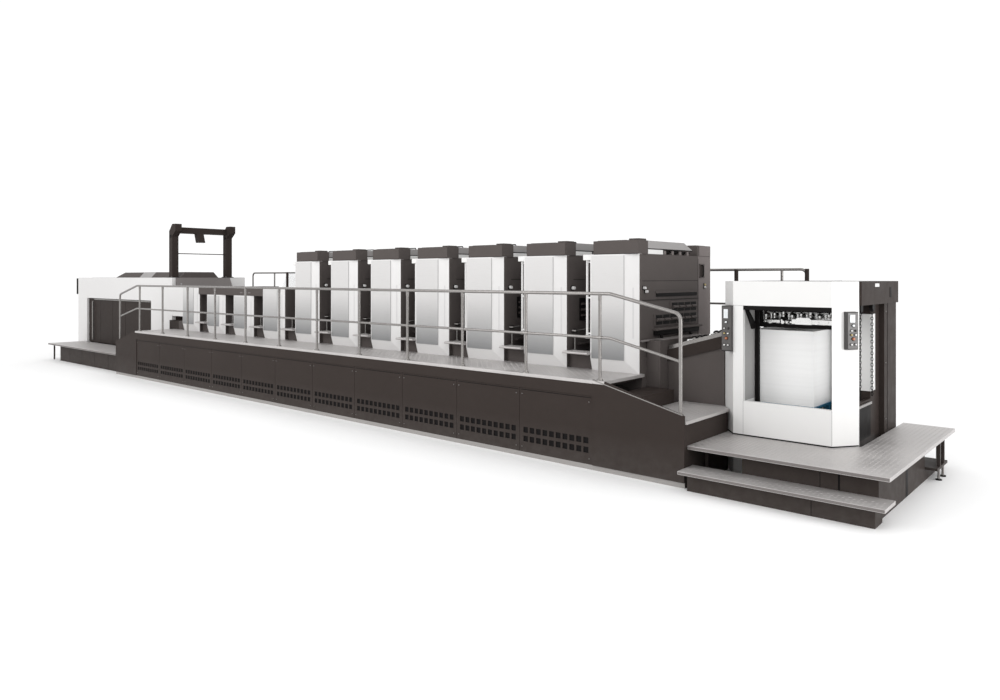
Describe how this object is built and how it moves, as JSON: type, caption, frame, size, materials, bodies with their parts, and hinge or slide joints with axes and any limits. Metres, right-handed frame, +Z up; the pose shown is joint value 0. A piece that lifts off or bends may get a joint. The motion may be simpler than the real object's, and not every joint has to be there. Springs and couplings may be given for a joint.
{
  "type": "sheet-fed offset printing press line",
  "caption": "Sheet-fed offset printing press line: feeder with sheet pile, a row of printing units, coaters, dryers and a delivery, with a railed operator gallery.",
  "frame": {"origin": "on the floor under the middle of the whole line", "axes": "+X along the line from the delivery to the feeder, +Y from the operator side to the drive side, +Z up"},
  "size_m": [22.355, 3.847, 3.643],
  "materials": {
    "charcoal_paint": "satin charcoal machine paint",
    "white_paint": "semi-gloss white machine paint",
    "grey_panel": "grey painted panel",
    "light_paint": "light grey painted sheet",
    "tread_plate": "patterned aluminium tread plate",
    "rail_steel": "brushed steel tube",
    "black_metal": "black painted bar",
    "bright_metal": "bright plated metal",
    "sheet_paper": "stacked white sheets",
    "blue_board": "blue moulded pile board",
    "clear_sheet": "clear guard sheet",
    "control_case": "dark moulded case"
  },
  "bodies": {
    "press": {"coater_guard": "clear_sheet", "coater_unit_1": "charcoal_paint", "coater_unit_2": "charcoal_paint", "control_boxes": "control_case", "delivery_body": "charcoal_paint", "delivery_entry_slope": "grey_panel", "delivery_front_panels": "white_paint", "delivery_guard_door": "charcoal_paint", "delivery_header": "white_paint", "delivery_hood": "charcoal_paint", "drive_handrail": "rail_steel", "drive_panels": "charcoal_paint", "dryer_bridge": "charcoal_paint", "dryer_unit": "charcoal_paint", "feed_board": "charcoal_paint", "feed_board_wall": "charcoal_paint", "feeder_back_panels": "charcoal_paint", "feeder_end_header": "charcoal_paint", "feeder_frame": "charcoal_paint", "feeder_front_columns": "white_paint", "feeder_head": "bright_metal", "feeder_header": "white_paint", "feeder_inner_frame": "black_metal", "feeder_roof": "charcoal_paint", "feeder_sill": "white_paint", "feeder_window": "clear_sheet", "gallery_decks": "tread_plate", "gallery_end_panels": "charcoal_paint", "gallery_fascia": "charcoal_paint", "gallery_frames": "charcoal_paint", "gallery_handrail": "rail_steel", "gallery_plinth": "grey_panel", "gallery_vent_panels": "charcoal_paint", "gantry_frame": "charcoal_paint", "gantry_lamp": "charcoal_paint", "infeed_cabinet": "charcoal_paint", "platform_decks": "tread_plate", "platform_frames": "charcoal_paint", "press_bed": "charcoal_paint", "printing_unit_1": "charcoal_paint", "printing_unit_2": "charcoal_paint", "printing_unit_3": "charcoal_paint", "printing_unit_4": "charcoal_paint", "printing_unit_5": "charcoal_paint", "printing_unit_6": "charcoal_paint", "printing_unit_7": "charcoal_paint", "stair_bases": "charcoal_paint", "stair_treads": "tread_plate", "unit_caps": "charcoal_paint", "unit_cover_panels": "grey_panel", "unit_covers": "white_paint", "unit_grab_bars": "white_paint", "unit_roof_hoods": "light_paint", "unit_treads": "tread_plate"},
    "sheet_pile": {"paper_pile": "sheet_paper", "pile_board": "blue_board", "pile_lift_bars": "bright_metal"}
  },
  "joints": [
    {"name": "pile_lift", "type": "slide", "parent": "press", "child": "sheet_pile", "axis": [0, 0, 1], "range_m": [-0.65, 0]}
  ]
}
